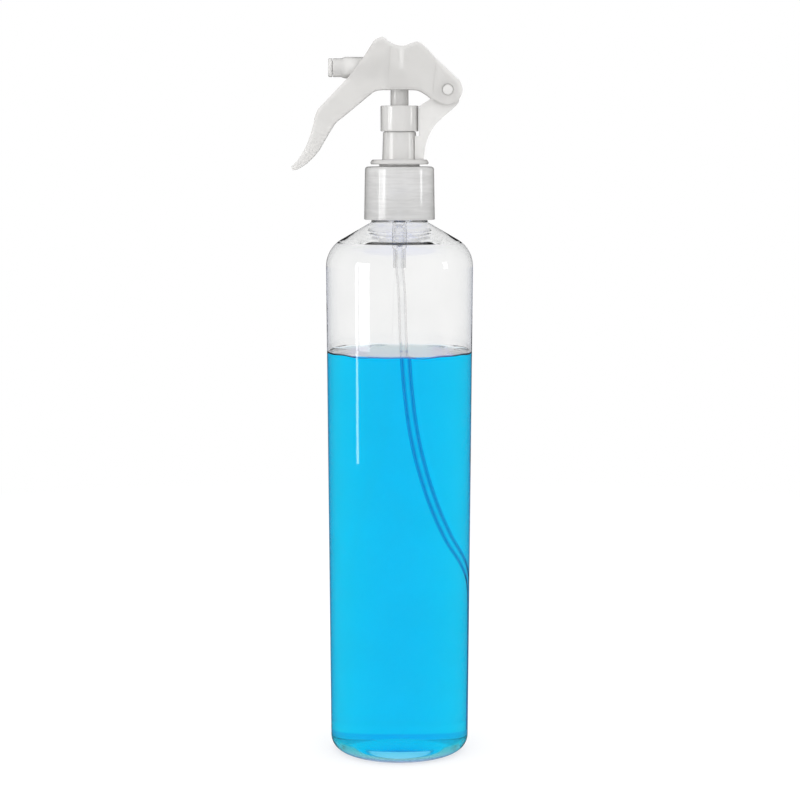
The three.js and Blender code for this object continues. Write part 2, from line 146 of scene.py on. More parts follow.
def turned(name, profile, sides=96, closed=True, shift=None):
    """A profile of (radius, height) turned about the bottle's axis. A closed profile is a ring, and
    an open one starts and ends on the axis. shift gives a point (mm, from the axis) a new place."""
    bm = bmesh.new()
    rings = []
    for r, z in profile:
        count = 1 if r < ON_AXIS else sides
        ring = []
        for i in range(count):
            a = 2 * math.pi * i / sides
            point = Vector((r * math.cos(a), r * math.sin(a), z))
            ring.append(bm.verts.new(AXIS + (shift(point) if shift else point) * MM))
        rings.append(ring)
    pairs = list(zip(rings, rings[1:]))
    if closed:
        pairs.append((rings[-1], rings[0]))
    for low, high in pairs:
        for i in range(sides):
            j = (i + 1) % sides
            corners = [low[i % len(low)], low[j % len(low)], high[j % len(high)], high[i % len(high)]]
            unique = list(dict.fromkeys(corners))
            if len(unique) > 2:
                bm.faces.new(unique)
    return finish_mesh(name, bm)


def along_x(z):
    """Turns a piece made about the vertical axis so that its height runs along X, at height z."""
    return lambda p: Vector((p.z, p.y, z - p.x))


def plate(name, outline, half, y=0):
    """An outline in X and Z, solid from y - half to y + half."""
    bm = bmesh.new()
    sides = []
    for side in (-1, 1):
        sides.append([bm.verts.new(AXIS + Vector((x, y + side * half, z)) * MM) for x, z in outline])
    for side in sides:
        bm.faces.new(side)
    count = len(outline)
    for i in range(count):
        j = (i + 1) % count
        bm.faces.new([sides[0][i], sides[0][j], sides[1][j], sides[1][i]])
    return finish_mesh(name, bm)


def box(name, x, y, z):
    """A block over the ranges x, y and z."""
    outline = [(x[0], z[0]), (x[1], z[0]), (x[1], z[1]), (x[0], z[1])]
    return plate(name, outline, (y[1] - y[0]) / 2, (y[0] + y[1]) / 2)


def pin(name, x, z, r, half):
    """A cylinder along Y."""
    sides = 48
    return plate(name, arc(x, z, r, 0, 360 * (1 - 1 / sides), sides - 1), half)


def drop(obj):
    bpy.data.objects.remove(obj, do_unlink=True)


def apply_modifiers(obj):
    graph = bpy.context.evaluated_depsgraph_get()
    mesh = bpy.data.meshes.new_from_object(obj.evaluated_get(graph))
    obj.modifiers.clear()
    obj.data = mesh


def combine(obj, other, operation):
    """Joins (UNION) or cuts (DIFFERENCE) obj by other, which is used up."""
    modifier = obj.modifiers.new(operation, "BOOLEAN")
    modifier.operation = operation
    modifier.solver = "EXACT"
    modifier.object = other
    apply_modifiers(obj)
    drop(other)
    return obj


def join(obj, *others):
    for other in others:
        combine(obj, other, "UNION")
    return obj


def cut(obj, *others):
    for other in others:
        combine(obj, other, "DIFFERENCE")
    return obj


def round_edges(obj, width):
    """Rounds the edges sharper than 32 degrees, as a mould's are, and shades the rest smooth."""
    same_place, flat = 0.001 * MM, math.radians(0.5)
    bm = bmesh.new()
    bm.from_mesh(obj.data)
    bmesh.ops.remove_doubles(bm, verts=bm.verts, dist=same_place)
    bmesh.ops.dissolve_limit(bm, angle_limit=flat, verts=bm.verts, edges=bm.edges)
    bm.to_mesh(obj.data)
    bm.free()
    bevel = obj.modifiers.new("edges", "BEVEL")
    bevel.width = width * MM
    bevel.segments = 3
    bevel.limit_method = "ANGLE"
    bevel.angle_limit = math.radians(32)
    apply_modifiers(obj)
    bm = bmesh.new()
    bm.from_mesh(obj.data)
    name = obj.name
    drop(obj)
    return finish_mesh(name, bm, sharp=40)


def swept(name, route, radius, bore, sides):
    """A tube of those two radii along a route of points in the XZ plane, open at both ends."""
    points = [Vector((x, 0, z)) for x, z in route]
    bm = bmesh.new()
    skins = []
    for r in (radius, bore):
        rings = []
        for i, p in enumerate(points):
            along = (points[min(i + 1, len(points) - 1)] - points[max(i - 1, 0)]).normalized()
            out = along.cross(Vector((0, 1, 0)))
            ring = []
            for k in range(sides):
                a = 2 * math.pi * k / sides
                q = p + out * (r * math.cos(a)) + Vector((0, 1, 0)) * (r * math.sin(a))
                ring.append(bm.verts.new(AXIS + q * MM))
            rings.append(ring)
        for low, high in zip(rings, rings[1:]):
            for k in range(sides):
                m = (k + 1) % sides
                bm.faces.new([low[k], low[m], high[m], high[k]])
        skins.append(rings)
    for end in (0, -1):
        outer, inner = skins[0][end], skins[1][end]
        for k in range(sides):
            m = (k + 1) % sides
            bm.faces.new([outer[k], outer[m], inner[m], inner[k]])
    return finish_mesh(name, bm)


def thread(name, wall_r, crest_r, z, sides):
    """A helical ridge of trapezium section on the wall, fading out at both ends."""
    root_w, crest_w, sunk = 1.7, 0.8, 0.3
    fade, least = 14, 0.1
    base = wall_r + math.copysign(sunk, wall_r - crest_r)
    steps = int(sides * TURNS)
    bm = bmesh.new()
    rings = []
    for i in range(steps + 1):
        t = i / steps
        rise = min(1, fade * t + least, fade * (1 - t) + least)
        crest = base + (crest_r - base) * rise
        a = 2 * math.pi * TURNS * t
        height = z + PITCH * TURNS * t
        corners = [(base, -root_w / 2), (crest, -crest_w / 2), (crest, crest_w / 2), (base, root_w / 2)]
        rings.append([
            bm.verts.new(AXIS + Vector((r * math.cos(a), r * math.sin(a), height + h)) * MM)
            for r, h in corners
        ])
    for low, high in zip(rings, rings[1:]):
        for k in range(4):
            m = (k + 1) % 4
            bm.faces.new([low[k], low[m], high[m], high[k]])
    bm.faces.new(rings[0])
    bm.faces.new(rings[-1])
    return finish_mesh(name, bm)


# ------------------------------------------------------------------ materials
# A Mix node's sockets for colours, by number, because its sockets share their names.
MIX_FACTOR, MIX_FROM, MIX_TO, MIX_RESULT = 0, 6, 7, 2
# Nearly all the values of a noise texture lie between these.
NOISE_LOW, NOISE_HIGH = 0.3, 0.7
PET_IOR = 1.57
LIQUID_IOR = 1.333
POLYMER_IOR = 1.5


def material(name):
    made = bpy.data.materials.new(name)
    made.use_nodes = True
    return made, made.node_tree.nodes, made.node_tree.links, made.node_tree.nodes["Principled BSDF"]


def noise(nodes, links, scale, detail, distortion=0.0, layers=1):
    """Noise in the object's own space, in features per metre, squeezed into flat layers."""
    where = nodes.new("ShaderNodeTexCoord")
    squeezed = nodes.new("ShaderNodeVectorMath")
    squeezed.operation = "MULTIPLY"
    squeezed.inputs[1].default_value = (1, 1, layers)
    links.new(where.outputs["Object"], squeezed.inputs[0])
    texture = nodes.new("ShaderNodeTexNoise")
    texture.inputs["Scale"].default_value = scale
    texture.inputs["Detail"].default_value = detail
    texture.inputs["Distortion"].default_value = distortion
    links.new(squeezed.outputs["Vector"], texture.inputs["Vector"])
    return texture.outputs["Fac"]


def spread(nodes, links, value, low, high):
    """Maps noise on to the numbers from low to high."""
    mapped = nodes.new("ShaderNodeMapRange")
    mapped.inputs["From Min"].default_value = NOISE_LOW
    mapped.inputs["From Max"].default_value = NOISE_HIGH
    mapped.inputs["To Min"].default_value = low
    mapped.inputs["To Max"].default_value = high
    links.new(value, mapped.inputs["Value"])
    return mapped.outputs["Result"]


def tint(nodes, links, value, low, high):
    """Maps noise on to the colours from low to high."""
    ramp = nodes.new("ShaderNodeValToRGB")
    ramp.color_ramp.elements[0].position = NOISE_LOW
    ramp.color_ramp.elements[0].color = (*low, 1)
    ramp.color_ramp.elements[1].position = NOISE_HIGH
    ramp.color_ramp.elements[1].color = (*high, 1)
    links.new(value, ramp.inputs["Fac"])
    return ramp.outputs["Color"]


def feed(links, value, socket):
    """Gives a node's input its value: another node's output, a colour or a number."""
    if isinstance(value, bpy.types.NodeSocket):
        links.new(value, socket)
    elif isinstance(value, tuple):
        socket.default_value = (*value, 1)
    else:
        socket.default_value = value


def blend(nodes, links, factor, colour, other):
    """The colour, going over to the other as the factor rises to 1."""
    mix = nodes.new("ShaderNodeMix")
    mix.data_type = "RGBA"
    feed(links, factor, mix.inputs[MIX_FACTOR])
    feed(links, colour, mix.inputs[MIX_FROM])
    feed(links, other, mix.inputs[MIX_TO])
    return mix.outputs[MIX_RESULT]


def turned_away(nodes, links, power):
    """0 where the surface faces the viewer, rising to 1 where it is seen edge on."""
    turn = nodes.new("ShaderNodeLayerWeight")
    turn.inputs["Blend"].default_value = 0.5
    curve = nodes.new("ShaderNodeMath")
    curve.operation = "POWER"
    feed(links, power, curve.inputs[1])
    links.new(turn.outputs["Facing"], curve.inputs[0])
    return curve.outputs["Value"]


def painted_edge_shade(nodes, links, colour, edge, power):
    """The colour, going over to edge where the surface turns away: painted shade on the edges."""
    return blend(nodes, links, turned_away(nodes, links, power), colour, edge)


def marked(nodes, links, name, low, high):
    """A number that goes from low to high with a face attribute written by mark()."""
    attribute = nodes.new("ShaderNodeAttribute")
    attribute.attribute_name = name
    mapped = nodes.new("ShaderNodeMapRange")
    mapped.inputs["To Min"].default_value = low
    mapped.inputs["To Max"].default_value = high
    links.new(attribute.outputs["Fac"], mapped.inputs["Value"])
    return mapped.outputs["Result"]


def bump(nodes, links, value, depth):
    """A bump of that depth in metres."""
    made = nodes.new("ShaderNodeBump")
    made.inputs["Strength"].default_value = 1
    made.inputs["Distance"].default_value = depth
    links.new(value, made.inputs["Height"])
    return made.outputs["Normal"]


def absorb(nodes, links, colour, density):
    """Colours what lies inside the surface, deeper where the light goes further through it."""
    volume = nodes.new("ShaderNodeVolumeAbsorption")
    volume.inputs["Color"].default_value = (*colour, 1)
    volume.inputs["Density"].default_value = density
    links.new(volume.outputs["Volume"], nodes["Material Output"].inputs["Volume"])


def bend(nodes, links, shader, dry, wet):
    """The IOR: dry in air, and wet on the faces marked wet, which touch the liquid."""
    links.new(marked(nodes, links, "wet", dry, wet), shader.inputs["IOR"])


def clear_pet():
    """The bottle's plastic; where liquid wets it, light crosses from plastic into liquid. Its edges
    are painted darker as shade, grey over the air and blue over the liquid, and its foot looks a little
    blue all over."""
    faint, clear, foot_blue = (0.95, 0.952, 0.95), (0.975, 0.975, 0.973), (0.62, 0.64, 0.90)
    grey_edge_shade, blue_edge_shade = (0.80, 0.83, 0.86), (0.16, 0.26, 0.55)
    made, nodes, links, shader = material("clear_pet")
    shader.inputs["Transmission Weight"].default_value = 1
    bend(nodes, links, shader, PET_IOR, PET_IOR / LIQUID_IOR)
    waves = noise(nodes, links, 60, 2)
    plastic = tint(nodes, links, waves, faint, clear)
    colour = blend(nodes, links, marked(nodes, links, "foot", 0, 1), plastic, foot_blue)
    # Painted shade: the colour the edges go over to, grey over the air and blue over the liquid.
    edge = blend(nodes, links, marked(nodes, links, "backed", 0, 1), grey_edge_shade, blue_edge_shade)
    links.new(painted_edge_shade(nodes, links, colour, edge, 5), shader.inputs["Base Color"])
    scuffs = noise(nodes, links, 900, 6, 1.5)
    links.new(spread(nodes, links, scuffs, 0.0, 0.02), shader.inputs["Roughness"])
    links.new(bump(nodes, links, waves, 0.05 * MM), shader.inputs["Normal"])
    return made


def blue_liquid():
    """The dyed liquid. Against the bottle it bends no light, because the bottle's inner face
    does that; its free surface bends it as water does, and is painted grey where it is seen
    nearly edge on, as a painted reflection."""
    faint, clear, reflection_grey = (0.97, 0.99, 1), (1, 1, 1), (0.60, 0.62, 0.66)
    reflection_clearness, dye, depth_of_dye = 0.22, (0.02, 0.928, 1), 135
    made, nodes, links, shader = material("blue_liquid")
    bend(nodes, links, shader, LIQUID_IOR, 1)
    shader.inputs["Roughness"].default_value = 0
    water = tint(nodes, links, noise(nodes, links, 35, 2), faint, clear)
    # Painted reflection: grey laid on the free surface where it is seen nearly edge on, with less light
    # let through there.
    painted_reflection = nodes.new("ShaderNodeMath")
    painted_reflection.operation = "MULTIPLY"
    links.new(marked(nodes, links, "painted_reflection", 0, 1), painted_reflection.inputs[0])
    links.new(turned_away(nodes, links, 1.5), painted_reflection.inputs[1])
    clearness = nodes.new("ShaderNodeMapRange")
    clearness.inputs["To Min"].default_value = 1
    clearness.inputs["To Max"].default_value = reflection_clearness
    links.new(painted_reflection.outputs["Value"], clearness.inputs["Value"])
    links.new(clearness.outputs["Result"], shader.inputs["Transmission Weight"])
    colour = blend(nodes, links, painted_reflection.outputs["Value"], water, reflection_grey)
    links.new(colour, shader.inputs["Base Color"])
    absorb(nodes, links, dye, depth_of_dye)
    return made


def milky(name, colour, clearness, roughness, contrast=0.045, layers=1):
    """A translucent moulded plastic: cloudy inside, with a faint flow pattern, darker than the
    colour by up to its contrast, and a glossy skin. Squeezed into layers, the pattern is painted shade."""
    edge, inner_shade = (0.84, 0.83, 0.81), (0.50, 0.47, 0.45)
    made, nodes, links, shader = material(name)
    shader.inputs["Transmission Weight"].default_value = clearness
    shader.inputs["IOR"].default_value = POLYMER_IOR
    flow = noise(nodes, links, 90, 3, 0.8, layers)
    dark = tuple(c * (1 - contrast) for c in colour)
    cloudy = tint(nodes, links, flow, dark, colour)
    # Painted shade: the edge colour darkens the plastic where it is seen edge on.
    links.new(painted_edge_shade(nodes, links, cloudy, edge, 3), shader.inputs["Base Color"])
    links.new(spread(nodes, links, flow, roughness * 0.85, roughness * 1.15), shader.inputs["Roughness"])
    shader.inputs["Coat Weight"].default_value = 0.8
    shader.inputs["Coat Roughness"].default_value = 0.08
    absorb(nodes, links, inner_shade, 8)
    return made


def natural():
    """Uncoloured tube and pump plastic: clear, with painted shade darkening it only where it is seen
    edge on. In air it bends light less than the plastic does, because its thin walls hardly bend it."""
    faint, clear = (0.95, 0.955, 0.96), (1, 1, 1)
    dry_edge_shade, wet_edge_shade, thin_ior = (0.12, 0.12, 0.12), (0.02, 0.09, 0.48), 1.3
    made, nodes, links, shader = material("natural_polyethylene")
    shader.inputs["Transmission Weight"].default_value = 1
    bend(nodes, links, shader, thin_ior, POLYMER_IOR / LIQUID_IOR)
    shader.inputs["Roughness"].default_value = 0
    colour = tint(nodes, links, noise(nodes, links, 120, 2), faint, clear)
    power = marked(nodes, links, "wet", 1.7, 0.8)
    # Painted shade on the edges: dark grey in air, deep blue where wet.
    edge = blend(nodes, links, marked(nodes, links, "wet", 0, 1), dry_edge_shade, wet_edge_shade)
    links.new(painted_edge_shade(nodes, links, colour, edge, power), shader.inputs["Base Color"])
    return made


def foam():
    """The seal's foam, with fine cells."""
    shade, white = (0.72, 0.72, 0.70), (0.86, 0.86, 0.84)
    made, nodes, links, shader = material("white_foam")
    cells = noise(nodes, links, 3500, 3)
    links.new(tint(nodes, links, cells, shade, white), shader.inputs["Base Color"])
    links.new(bump(nodes, links, cells, 0.08 * MM), shader.inputs["Normal"])
    shader.inputs["Roughness"].default_value = 0.8
    return made


def steel():
    """The spring's and the ball's steel, unevenly polished."""
    dark, bright = (0.52, 0.52, 0.53), (0.70, 0.70, 0.71)
    made, nodes, links, shader = material("stainless_steel")
    shader.inputs["Metallic"].default_value = 1
    drawn = noise(nodes, links, 1800, 5, 0.3)
    links.new(tint(nodes, links, drawn, dark, bright), shader.inputs["Base Color"])
    links.new(spread(nodes, links, drawn, 0.16, 0.32), shader.inputs["Roughness"])
    return made


CLEAR = clear_pet()
BLUE = blue_liquid()
MILKY = milky("milky_polypropylene", (0.985, 0.975, 0.96), 0.52, 0.07)
# A copy of the lever's plastic, made less clear and so brighter: painted light that makes up for the
# shade the head's thicker, crowded parts catch.
BRIGHT = milky("brightened_polypropylene", (0.975, 0.965, 0.95), 0.40, 0.20)
# The closure's horizontal streaks are painted shade, standing for the thread seen through the cap.
STREAKED = milky("streaked_polypropylene", (1, 0.995, 0.99), 0.40, 0.16, contrast=0.16, layers=9)
NATURAL = natural()
FOAM = foam()
STEEL = steel()


def mark(obj, name, belongs):
    """Writes a face attribute: 1 where belongs(centre, normal), with the centre in mm."""
    marks = obj.data.attributes.new(name, "FLOAT", "FACE")
    for face in obj.data.polygons:
        marks.data[face.index].value = float(belongs((face.center - AXIS) / MM, face.normal))
    return obj


def place(obj, node, look):
    """obj stands for the CAD node, moves with its body and takes that look."""
    bodies = frame["record"]["behaviour"]["bodies"]
    body = next(name for name, nodes in bodies.items() if node in nodes)
    obj.data.materials.clear()
    obj.data.materials.append(look)
    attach(obj, body)
    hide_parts(node)
    return obj


# ------------------------------------------------------------------ bottle and liquid
SHOULDER_Z = 197
SHOULDER_R = 29.3
SHOULDER_ARC = 12.3
SHOULDER_STEPS = 16
FOOT_R = 22.1
HEEL = 5.8
PUNT_R = 16.5
PUNT = 3.8
PUNT_WALL = 1.2
HEEL_STEPS = 12


def bottle_side(inset):
    """The bottle's outside from its heel to its neck, moved inwards by inset."""
    arc_x = SHOULDER_R - SHOULDER_ARC
    shoulder = arc(arc_x, SHOULDER_Z, SHOULDER_ARC - inset, 0, 60, SHOULDER_STEPS)
    x, z = shoulder[-1]
    cone_r = NECK_R + 1.6 - inset
    cone = (cone_r, z + (x - cone_r) * math.tan(math.radians(30)))
    return [
        *arc(FOOT_R, HEEL, HEEL - inset, -90, 0, HEEL_STEPS), *shoulder,
        *spline([cone, (NECK_R - inset + 0.45, 214.4), (NECK_R - inset, 215.6)], 4),
    ]


def punt(lift):
    """The dome under the bottle, from the axis out to the foot ring."""
    steps = 8
    radii = [PUNT_R * i / steps for i in range(steps + 1)]
    return [(r, lift + PUNT * (1 - (r / PUNT_R) ** 2)) for r in radii]


def inner_r(z):
    """The inside radius of the bottle's body."""
    low_r = FOOT_R + HEEL - WALL
    return low_r + (SHOULDER_R - WALL - low_r) * (z - HEEL) / (SHOULDER_Z - HEEL)


def bottle_shell():
    """The wall is thicker at the shoulder's upper end, and has a ring of points at the height of
    the liquid's surface, so that its faces can be marked above and below it."""
    outer_lip, inner_lip = 0.5, 0.3
    lip = [
        *arc(NECK_R - outer_lip, RIM_Z - outer_lip, outer_lip, 0, 90, 4),
        *arc(BORE_R + inner_lip, RIM_Z - inner_lip, inner_lip, 90, 180, 3),
    ]
    side = bottle_side(WALL)[1:HEEL_STEPS + SHOULDER_STEPS]
    side.insert(HEEL_STEPS, (inner_r(LIQUID_TOP), LIQUID_TOP))
    thick = spline([
        side[-1], (21, 207.52), (17.5, 209.15), (14.2, 210.7), (12.2, 211.9), (10.5, 213.6),
        (BORE_R, 215.4),
    ], 6)[1:]
    outside = [*punt(0), *bottle_side(0)]
    inside = [*punt(PUNT_WALL), *side, *thick]
    shell = turned("bottle_shell", [*outside, *lip, *reversed(inside)], 160, closed=False)
    return join(shell, thread("neck_thread", NECK_R, 12, THREAD_Z, 160))


def ripple(point):
    """The surface isn't quite still: its edge rises and falls a little round the wall."""
    if point.z < SURFACE_Z:
        return point
    around = math.atan2(point.y, point.x)
    edge = (Vector((point.x, point.y)).length / SHOULDER_R) ** 4
    wave = 0.22 * math.sin(7 * around + 0.6) + 0.16 * math.sin(13 * around + 2)
    sag = 0.3
    return point + Vector((0, 0, (wave - sag) * edge))


def liquid_body():
    """The liquid wets the wall, so its surface climbs a little where it meets it. Its sides are
    sunk into the wall, whose inner face is the one that bends the light."""
    sunk = 0.1
    edge_r = inner_r(LIQUID_TOP) + sunk
    side = arc(FOOT_R, HEEL, HEEL - WALL + sunk, -80, 0, HEEL_STEPS)
    climb = [(edge_r - back, SURFACE_Z + rise) for back, rise in
             ((0, 0.9), (0.1, 0.55), (0.35, 0.25), (0.8, 0.08), (1.5, 0.0))]
    profile = [*punt(PUNT_WALL - sunk), *side, *climb, (edge_r * 0.7, SURFACE_Z), (0, SURFACE_Z)]
    return turned("liquid_body", profile, 160, closed=False, shift=ripple)


TUBE_R = 1.7
TUBE_BORE = 1.1
# X and Z, from the pump's foot down into the right-hand corner of the heel.
TUBE_ROUTE = [
    (0, 204.1), (0, 197), (0.9, 186), (1.5, 168), (2.6, 147.5), (4.9, 126.5), (9.3, 105.5),
    (14.8, 88.5), (20.4, 77.5), (24.1, 69), (25.3, 58), (25.3, 34), (24.7, 8),
]


def is_inside(centre, normal):
    """Whether a face of the bottle looks inwards."""
    heart = Vector((0, 0, LIQUID_TOP / 2))
    return normal.dot(heart - centre) > 0


def wetness(centre, normal):
    """1 on the bottle's inner face below the liquid's surface. The foot's outside comes close to
    it, so that its thick corner lets light out instead of trapping it."""
    if is_inside(centre, normal):
        return centre.z < LIQUID_TOP
    return 0.7 if centre.z < HEEL else 0


def is_backed(centre, normal):
    """Whether a face of the bottle is on the outside, with the liquid behind it."""
    return centre.z < LIQUID_TOP and not is_inside(centre, normal)


def is_foot(centre, normal):
    return centre.z < HEEL and normal.z < -0.6


def is_under_surface(centre, normal):
    return centre.z < SURFACE_Z


def is_liquid_side(centre, normal):
    return centre.z < SURFACE_Z - 1


def is_free_surface(centre, normal):
    return centre.z > SURFACE_Z - 1 and normal.z > 0.9


LIQUID = mark(liquid_body(), "wet", is_liquid_side)
# Marks the free surface, where the painted reflection goes.
mark(LIQUID, "painted_reflection", is_free_surface)
TUBE = swept("dip_tube_bent", spline(TUBE_ROUTE, 16), TUBE_R, TUBE_BORE, 32)
mark(TUBE, "wet", is_under_surface)
BOTTLE = mark(bottle_shell(), "wet", wetness)
mark(BOTTLE, "backed", is_backed)
mark(BOTTLE, "foot", is_foot)
place(BOTTLE, "bottle", CLEAR)
place(LIQUID, "liquid", BLUE)
place(TUBE, "dip_tube", NATURAL)


# ------------------------------------------------------------------ closure and pump
def closure_cap():
    """The screw closure; its thread runs half a turn under the neck's."""
    inner, crest = 12.35, 11.35
    cap = turned("closure_cap", softened([
        (inner, 215.6, 0.15), (14.05, 215.6, 0.25), (13.7, 236.5, 1.2), (8.3, 236.5, 0.2),
        (8.3, 235.3, 0.1), (inner, 235.3, 0.5),
    ]), 128)
    return join(cap, thread("cap_thread", inner, crest, THREAD_Z - PITCH / 2, 128))


def seal_ring():
    return turned("seal_ring", softened([
        (9.2, 232.5, 0.1), (12, 232.5, 0.1), (12, 233.5, 0.1), (9.2, 233.5, 0.1),
    ]))


def pump_barrel():
    """The pump's housing: cylinder, flange on the neck, and inlet with the ball's seat."""
    return turned("pump_barrel", softened([
        (1.95, 196.4, 0), (2.5, 196.4, 0.15), (2.5, 204.4, 0.1), (2.95, 204.9, 0.15), (2.95, 215, 0.4),
        (5.2, 216, 0.5), (5.2, 232.8, 0.3), (6.2, 233.8, 0), (12, 233.8, 0.1), (12, 235, 0.1),
        (5.2, 235, 0.2), (5.2, 249, 0.2), (4, 249, 0.1), (4, 217.2, 0.3), (2.05, 217.2, 0.1),
        (2.05, 209.5, 0.1), (1.3, 209.1, 0.05), (1.3, 208.9, 0.05), (2.05, 208.15, 0.1),
        (2.05, 206.65, 0), (1, 205.6, 0), (1, 204.4, 0), (1.95, 204.4, 0),
    ], 3), 64)


def coil_spring():
    """The return spring, from its seat in the barrel up to the poppet rod's flange."""
    turns, coil_r, wire_r, sides = 8, 2.95, 0.35, 12
    steps = 28 * turns
    low, high = 217.9 + wire_r, 237 - wire_r
    bm = bmesh.new()
    rings = []
    for i in range(steps + 1):
        a = 2 * math.pi * turns * i / steps
        out = Vector((math.cos(a), math.sin(a), 0))
        centre = out * coil_r + Vector((0, 0, low + (high - low) * i / steps))
        ring = []
        for k in range(sides):
            b = 2 * math.pi * k / sides
            point = centre + (out * math.cos(b) + Vector((0, 0, math.sin(b)))) * wire_r
            ring.append(bm.verts.new(AXIS + point * MM))
        rings.append(ring)
    for near, far in zip(rings, rings[1:]):
        for k in range(sides):
            m = (k + 1) % sides
            bm.faces.new([near[k], near[m], far[m], far[k]])
    bm.faces.new(rings[0])
    bm.faces.new(rings[-1])
    return finish_mesh("coil_spring", bm)


def check_ball():
    r, z, steps = 1.5, middle("inlet_ball").z / MM, 24
    angles = [math.pi * i / steps for i in range(steps + 1)]
    profile = [(r * math.sin(a), z - r * math.cos(a)) for a in angles]
    return turned("check_ball", profile, 48, closed=False)


def poppet_rod():
    return turned("poppet_rod", softened([
        (0, 224, 0), (1.3, 224, 0.1), (1.8, 224.8, 0.1), (1.8, 237.4, 0.1), (3.3, 237.4, 0.1),
        (3.3, 238.2, 0.2), (1.15, 240, 0.2), (1.15, 249, 0.3), (0, 249, 0),
    ], 3), 48, closed=False)


def piston_seal():
    """The piston, with a sealing lip at each end."""
    return turned("piston_seal", softened([
        (2.25, 239.1, 0), (3.8, 239.1, 0.05), (3.3, 240.3, 0.4), (3.3, 242.5, 0.4),
        (3.8, 243.7, 0.05), (2.45, 243.7, 0.1), (2.15, 242.7, 0.1), (1.55, 242.3, 0.1),
        (1.55, 240.1, 0.1),
    ], 3), 64)


def stem_tube():
    return turned("stem_tube", softened([
        (1.45, 244.8, 0.1), (2.15, 244.8, 0.1), (2.15, 268, 0.3), (1.45, 268, 0.1),
    ], 3), 48)


def stem_guide():
    return turned("stem_guide", softened([
        (2.95, 246, 0.1), (3.7, 246, 0.1), (3.7, 249.3, 0.1), (5.2, 249.3, 0.1), (5.2, 251, 0.5),
        (2.45, 251, 0.1), (2.45, 248.3, 0.1), (2.95, 247.9, 0.1),
    ], 3), 64)


place(closure_cap(), "closure", STREAKED)
place(seal_ring(), "gasket", FOAM)
place(pump_barrel(), "pump_housing", NATURAL)
place(check_ball(), "inlet_ball", STEEL)
SPRING = place(coil_spring(), "return_spring", STEEL)
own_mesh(SPRING)
place(poppet_rod(), "valve_rod", NATURAL)
place(piston_seal(), "piston", NATURAL)
place(stem_tube(), "stem", NATURAL)
place(stem_guide(), "chaplet", NATURAL)


# ------------------------------------------------------------------ head
def bracket():
    """The ring that the closure holds down, with the arm that carries the lever's pivot."""
    ring = turned("bracket_ring", softened([
        (5.5, 235.3, 0.2), (8, 235.3, 0.2), (8, 237.4, 0.1), (11.3, 237.4, 0.3), (11.6, 238, 0.3),
        (10.9, 239.2, 0.3), (6.85, 239.2, 0.3), (6.5, 250.1, 1.0), (6, 250.1, 0.1), (6, 253.2, 0.2),
        (5.5, 253.2, 0.1),
    ], 4), 96)
    root_x, inner_x = 6, 7.8
    arm = [
        (root_x, 237.9), (9.5, 237.9),
        *spline([
            (9.6, 240.4), (10.7, 246.4), (12.3, 250.1), (14.3, 253.1), (17.4, 256.1),
            (21.2, 259.3), (23.2, 261.6), (23.5, 263.3),
        ], 5),
        *arc(PIVOT_X, PIVOT_Z, 4.1, -35, 200, 30),
        (12.2, 263), (inner_x, 260.3), (inner_x, 248.5), (root_x, 248.5),
    ]
    blade = plate("rear_bracket", arm, 4.2)
    boss = pin("boss", PIVOT_X, PIVOT_Z, 4.1, 5.4)
    studs = pin("studs", PIVOT_X, PIVOT_Z, 2, 6.9)
    return round_edges(join(blade, boss, studs, ring), 0.3)


def collar():
    """The cup round the post, over the bracket's ring."""
    return turned("upper_collar", softened([
        (6.3, 250.4, 0.1), (7.5, 250.4, 0.3), (7.5, 260.4, 0.35), (3.9, 260.4, 0.3),
        (3.9, 251.5, 0.1), (4.9, 251.5, 0.1), (4.9, 259.2, 0.2), (6.3, 259.2, 0.2),
    ], 4), 96)


def button():
    """The post on the stem and the nozzle tube that leaves it forwards, with their bores."""
    post = turned("spray_button", softened([
        (0, 258.5, 0), (3.55, 258.5, 0.2), (3.55, NOZZLE_Z, 0), (0, NOZZLE_Z, 0),
    ], 3), 64, closed=False)
    tube = turned("nozzle_tube", softened([
        (0, -26.3, 0), (3.65, -26.3, 0.15), (3.65, -23.1, 0.5), (4.2, -21.5, 0.8), (4.2, 1.2, 0.8),
        (2.6, 3, 0.3), (0, 3, 0),
    ], 4), 64, closed=False, shift=along_x(NOZZLE_Z))
    flat, low_flat, top, bore_z = 274.3, 270.7, 280.5, 272.75
    above = plate("above", [
        *spline([(-5.4, top), (-4.6, 278.2), (-3.4, 275.6), (-2.2, flat)], 4),
        *spline([(1.6, flat), (3.1, 273.1), (3.8, low_flat)], 4), (6, low_flat), (6, top),
    ], 6)
    socket = turned("socket", [
        (0, 257.5), (2.65, 257.5), (2.65, 258.5), (2.3, 259.3), (2.3, 268.3), (1.2, 268.3),
        (1.2, bore_z), (0, bore_z),
    ], 48, closed=False)
    bore = turned("feed", [
        (0, -22.1), (0.85, -22.1), (0.85, 0), (0, 0),
    ], 32, closed=False, shift=along_x(bore_z))
    front = turned("front", [
        (1.45, -21.5), (2.85, -21.5), (2.85, -27.6), (0, -27.6), (0, -25.2), (1.45, -25.2),
    ], 48, shift=along_x(NOZZLE_Z))
    return round_edges(cut(join(post, tube), above, socket, bore, front), 0.2)


def orifice_cup():
    """The insert pressed into the nozzle tube's end, with the spray hole."""
    return turned("orifice_cup", softened([
        (0.25, -27.7, 0.05), (0.9, -28.1, 0.1), (3.65, -28.1, 0.35), (3.65, -26.6, 0.1),
        (2.55, -26.6, 0.1), (2.55, -23.7, 0.15), (1.75, -23.7, 0.1), (1.75, -27.1, 0.2),
        (0.25, -27.1, 0.05),
    ], 4), 64, shift=along_x(NOZZLE_Z))


# The head's other parts take the brightened copy of the plastic, painted light against their shade.
place(bracket(), "head_bracket", BRIGHT)
place(collar(), "guide_collar", BRIGHT)
place(button(), "actuator", BRIGHT)
place(orifice_cup(), "nozzle_insert", BRIGHT)


